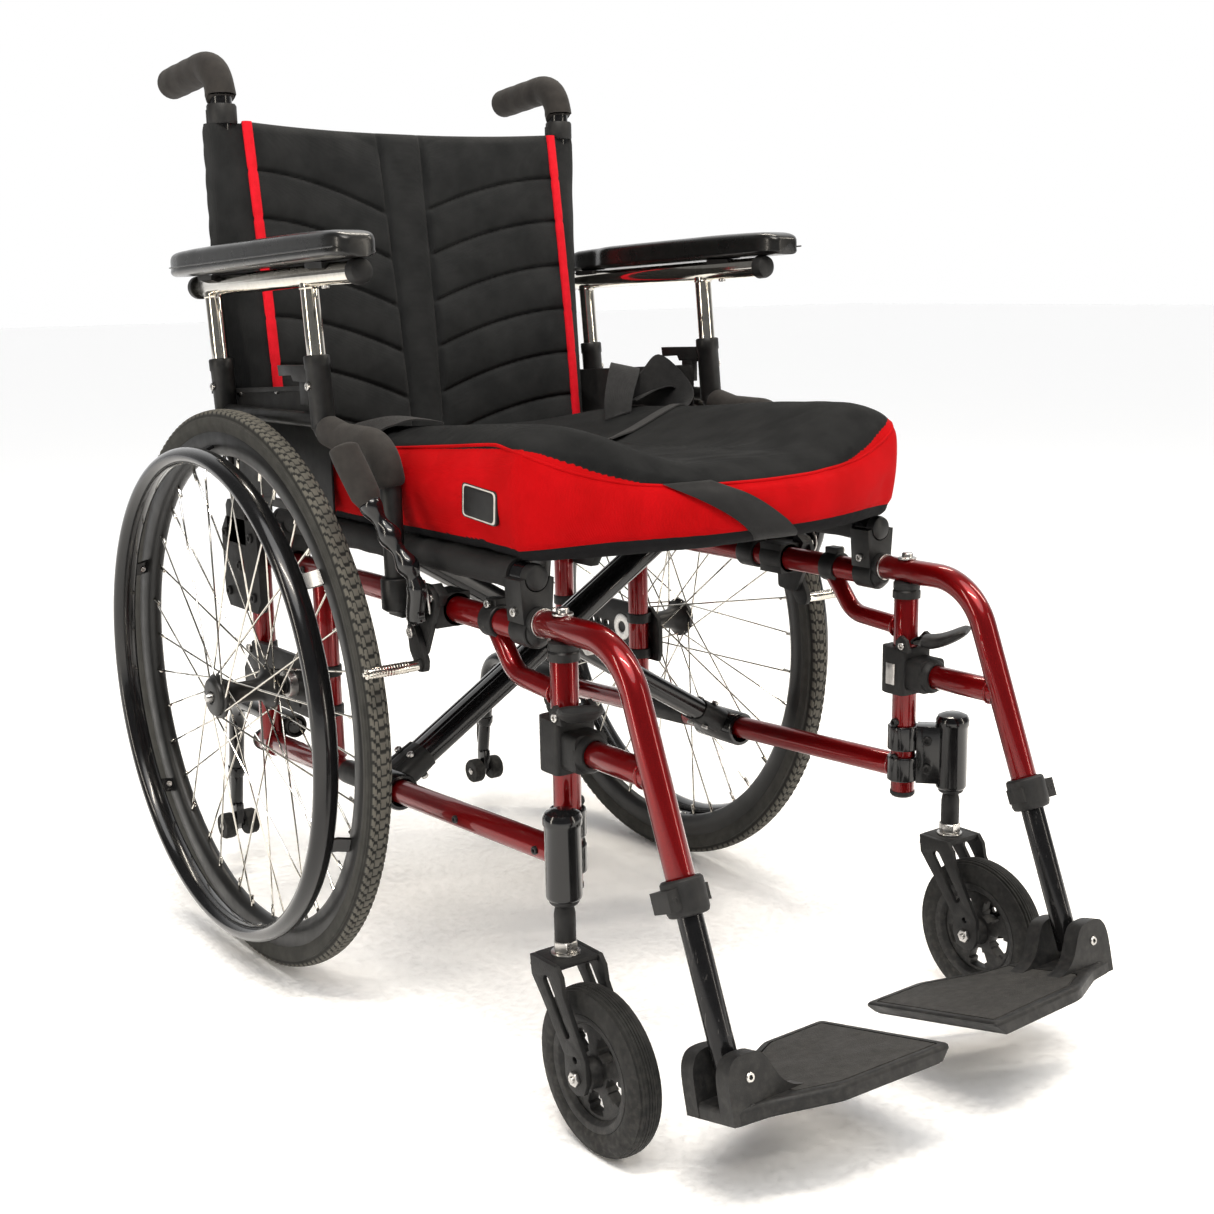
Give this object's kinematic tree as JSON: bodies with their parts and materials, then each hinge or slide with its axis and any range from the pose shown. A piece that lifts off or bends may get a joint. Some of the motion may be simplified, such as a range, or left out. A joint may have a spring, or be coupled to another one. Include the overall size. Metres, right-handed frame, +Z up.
{
  "type": "manual wheelchair",
  "caption": "Folding manual wheelchair with red tube frame, black spoked wheels, swing-away footrests, contoured cushion and padded sling back.",
  "frame": {"origin": "on the floor under the middle of the bounding box", "axes": "+Z up, the chair faces -Y, the user's right hand is at -X, and the rear axle runs along X at y = 0.244 m"},
  "size_m": [0.672, 1.0986, 0.9841],
  "materials": {
    "frame_red": "candy red clear coat over metallic base",
    "black_casting": "black powder coat",
    "black_tube": "glossy black anodised tube",
    "black_gloss": "gloss black coat",
    "grip_foam": "closed-cell foam",
    "steel": "plated steel",
    "tyre_grey": "grey rubber",
    "tyre_black": "black rubber",
    "black_plastic": "textured moulding",
    "black_moulded": "self-skinned glossy urethane",
    "chrome": "polished chrome plate",
    "fabric_black": "black nylon",
    "fabric_red": "red spacer mesh sides under a charcoal stretch top",
    "fabric_charcoal": "charcoal spacer mesh with red piping",
    "webbing": "dark grey belt webbing"
  },
  "bodies": {
    "right_frame": {"side_frame_right": "frame_red", "rear_bracket_right": "black_casting", "axle_plate_right": "black_casting", "back_post_right": "black_tube", "push_grip_right": "grip_foam", "caster_housing_right": "black_tube", "arm_receiver_right": "grip_foam", "side_guard_right": "black_plastic", "lock_bracket_right": "black_casting", "back_upholstery": "fabric_charcoal"},
    "brace_right": {"brace_right": "black_tube"},
    "brace_left": {"brace_left": "black_tube"},
    "left_frame": {"side_frame_left": "frame_red", "rear_bracket_left": "black_casting", "axle_plate_left": "black_casting", "back_post_left": "black_tube", "push_grip_left": "grip_foam", "caster_housing_left": "black_tube", "arm_receiver_left": "grip_foam", "side_guard_left": "black_plastic", "lock_bracket_left": "black_casting"},
    "seat": {"seat_sling": "fabric_black", "seat_cushion": "fabric_red", "lap_belt": "webbing"},
    "rear_wheel_left": {"rear_wheel_left": "black_gloss", "rear_tyre_left": "tyre_grey", "handrim_left": "black_gloss"},
    "axle_button_left": {"axle_button_left": "steel"},
    "caster_fork_left": {"caster_fork_left": "black_casting"},
    "caster_wheel_left": {"caster_wheel_left": "black_plastic", "caster_tyre_left": "tyre_black"},
    "hanger_left": {"hanger_left": "frame_red", "hanger_latch_left": "black_plastic"},
    "latch_lever_left": {"latch_lever_left": "black_plastic"},
    "extension_left": {"extension_tube_left": "black_tube"},
    "footplate_left": {"footplate_left": "black_plastic"},
    "armrest_left": {"arm_rail_left": "chrome", "arm_pad_left": "black_moulded"},
    "lock_lever_left": {"lock_lever_left": "black_tube"},
    "lock_shoe_left": {"lock_shoe_left": "steel"},
    "anti_tip_left": {"anti_tip_tube_left": "black_tube"},
    "anti_tip_wheels_left": {"anti_tip_wheels_left": "tyre_black"},
    "rear_wheel_right": {"rear_wheel_right": "black_gloss", "rear_tyre_right": "tyre_grey", "handrim_right": "black_gloss"},
    "axle_button_right": {"axle_button_right": "steel"},
    "caster_fork_right": {"caster_fork_right": "black_casting"},
    "caster_wheel_right": {"caster_wheel_right": "black_plastic", "caster_tyre_right": "tyre_black"},
    "hanger_right": {"hanger_right": "frame_red", "hanger_latch_right": "black_plastic"},
    "latch_lever_right": {"latch_lever_right": "black_plastic"},
    "extension_right": {"extension_tube_right": "black_tube"},
    "footplate_right": {"footplate_right": "black_plastic"},
    "armrest_right": {"arm_rail_right": "chrome", "arm_pad_right": "black_moulded"},
    "lock_lever_right": {"lock_lever_right": "black_tube"},
    "lock_shoe_right": {"lock_shoe_right": "steel"},
    "anti_tip_right": {"anti_tip_tube_right": "black_tube"},
    "anti_tip_wheels_right": {"anti_tip_wheels_right": "tyre_black"}
  },
  "joints": [
    {"name": "fold", "type": "hinge", "parent": "right_frame", "child": "brace_right", "pos_m": [-0.212, 0.074, 0.224], "axis": [0, -1, 0], "range_deg": [0, 43.7], "deforming": ["seat_sling", "seat_cushion", "lap_belt", "back_upholstery"]},
    {"name": "brace_cross", "type": "hinge", "parent": "brace_right", "child": "brace_left", "pos_m": [0, 0.052, 0.354], "axis": [0, -1, 0], "range_deg": [-87.6, 0]},
    {"name": "left_frame_upright", "type": "hinge", "parent": "brace_left", "child": "left_frame", "pos_m": [0.212, 0.03, 0.224], "axis": [0, -1, 0], "range_deg": [0, 43.8]},
    {"name": "seat_level", "type": "hinge", "parent": "brace_right", "child": "seat", "pos_m": [0.212, 0.074, 0.484], "axis": [0, -1, 0], "range_deg": [-43.8, 0]},
    {"name": "rear_wheel_spin_left", "type": "hinge", "parent": "left_frame", "child": "rear_wheel_left", "pos_m": [0.285, 0.244, 0.305], "axis": [1, 0, 0], "continuous": true},
    {"name": "axle_button_press_left", "type": "slide", "parent": "rear_wheel_left", "child": "axle_button_left", "axis": [-1, 0, 0], "range_m": [0, 0.003], "stiffness_N_per_m": 600, "springref_m": -0.002},
    {"name": "caster_swivel_left", "type": "hinge", "parent": "left_frame", "child": "caster_fork_left", "pos_m": [0.244, -0.297, 0.25], "axis": [0, 0, 1], "continuous": true},
    {"name": "caster_spin_left", "type": "hinge", "parent": "caster_fork_left", "child": "caster_wheel_left", "pos_m": [0.244, -0.344, 0.076], "axis": [1, 0, 0], "continuous": true},
    {"name": "hanger_swing_left", "type": "hinge", "parent": "left_frame", "child": "hanger_left", "pos_m": [0.212, -0.259, 0.4], "axis": [0, 0, 1], "range_deg": [0, 90]},
    {"name": "latch_lever_lift_left", "type": "hinge", "parent": "hanger_left", "child": "latch_lever_left", "pos_m": [0.212, -0.273, 0.372], "axis": [-1, 0, 0], "range_deg": [0, 20], "stiffness_Nm_per_rad": 0.4, "springref_deg": -17.19},
    {"name": "extension_slide_left", "type": "slide", "parent": "hanger_left", "child": "extension_left", "axis": [0, -0.3714, -0.9285], "range_m": [-0.05, 0.012]},
    {"name": "footplate_flip_left", "type": "hinge", "parent": "extension_left", "child": "footplate_left", "pos_m": [0.214, -0.475, 0.117], "axis": [0, 0.9732, -0.23], "range_deg": [0, 90.2]},
    {"name": "armrest_height_left", "type": "slide", "parent": "left_frame", "child": "armrest_left", "axis": [0, 0.1039, 0.9946], "range_m": [0, 0.035]},
    {"name": "lock_lever_push_left", "type": "hinge", "parent": "left_frame", "child": "lock_lever_left", "pos_m": [0.252, -0.074, 0.436], "axis": [1, 0, 0], "range_deg": [0, 45]},
    {"name": "lock_shoe_turn_left", "type": "hinge", "parent": "left_frame", "child": "lock_shoe_left", "pos_m": [0.244, -0.056, 0.414], "axis": [1, 0, 0], "range_deg": [0, 26.1]},
    {"name": "anti_tip_turn_left", "type": "hinge", "parent": "left_frame", "child": "anti_tip_left", "pos_m": [0.187, 0.352, 0.228], "axis": [0, 1, 0], "range_deg": [0, 180]},
    {"name": "anti_tip_spin_left", "type": "hinge", "parent": "anti_tip_left", "child": "anti_tip_wheels_left", "pos_m": [0.187, 0.528, 0.058], "axis": [1, 0, 0], "continuous": true},
    {"name": "rear_wheel_spin_right", "type": "hinge", "parent": "right_frame", "child": "rear_wheel_right", "pos_m": [-0.285, 0.244, 0.305], "axis": [1, 0, 0], "continuous": true},
    {"name": "axle_button_press_right", "type": "slide", "parent": "rear_wheel_right", "child": "axle_button_right", "axis": [1, 0, 0], "range_m": [0, 0.003], "stiffness_N_per_m": 600, "springref_m": -0.002},
    {"name": "caster_swivel_right", "type": "hinge", "parent": "right_frame", "child": "caster_fork_right", "pos_m": [-0.244, -0.297, 0.25], "axis": [0, 0, 1], "continuous": true},
    {"name": "caster_spin_right", "type": "hinge", "parent": "caster_fork_right", "child": "caster_wheel_right", "pos_m": [-0.244, -0.344, 0.076], "axis": [1, 0, 0], "continuous": true},
    {"name": "hanger_swing_right", "type": "hinge", "parent": "right_frame", "child": "hanger_right", "pos_m": [-0.212, -0.259, 0.4], "axis": [0, 0, -1], "range_deg": [0, 90]},
    {"name": "latch_lever_lift_right", "type": "hinge", "parent": "hanger_right", "child": "latch_lever_right", "pos_m": [-0.212, -0.273, 0.372], "axis": [-1, 0, 0], "range_deg": [0, 20], "stiffness_Nm_per_rad": 0.4, "springref_deg": -17.19},
    {"name": "extension_slide_right", "type": "slide", "parent": "hanger_right", "child": "extension_right", "axis": [0, -0.3714, -0.9285], "range_m": [-0.05, 0.012]},
    {"name": "footplate_flip_right", "type": "hinge", "parent": "extension_right", "child": "footplate_right", "pos_m": [-0.214, -0.475, 0.117], "axis": [0, -0.9732, 0.23], "range_deg": [0, 90.2]},
    {"name": "armrest_height_right", "type": "slide", "parent": "right_frame", "child": "armrest_right", "axis": [0, 0.1039, 0.9946], "range_m": [0, 0.035]},
    {"name": "lock_lever_push_right", "type": "hinge", "parent": "right_frame", "child": "lock_lever_right", "pos_m": [-0.252, -0.074, 0.436], "axis": [1, 0, 0], "range_deg": [0, 45]},
    {"name": "lock_shoe_turn_right", "type": "hinge", "parent": "right_frame", "child": "lock_shoe_right", "pos_m": [-0.244, -0.056, 0.414], "axis": [1, 0, 0], "range_deg": [0, 26.1]},
    {"name": "anti_tip_turn_right", "type": "hinge", "parent": "right_frame", "child": "anti_tip_right", "pos_m": [-0.187, 0.352, 0.228], "axis": [0, -1, 0], "range_deg": [0, 180]},
    {"name": "anti_tip_spin_right", "type": "hinge", "parent": "anti_tip_right", "child": "anti_tip_wheels_right", "pos_m": [-0.187, 0.528, 0.058], "axis": [1, 0, 0], "continuous": true}
  ],
  "couplings": [
    {"joint": "brace_cross", "follows": "fold", "ratio": -2},
    {"joint": "left_frame_upright", "follows": "fold", "ratio": 1},
    {"joint": "seat_level", "follows": "fold", "ratio": -1},
    {"joint": "footplate_flip_left", "follows": "fold", "ratio": 2.06},
    {"joint": "lock_shoe_turn_left", "follows": "lock_lever_push_left", "ratio": 0.5778},
    {"joint": "footplate_flip_right", "follows": "fold", "ratio": 2.06},
    {"joint": "lock_shoe_turn_right", "follows": "lock_lever_push_right", "ratio": 0.5778}
  ]
}
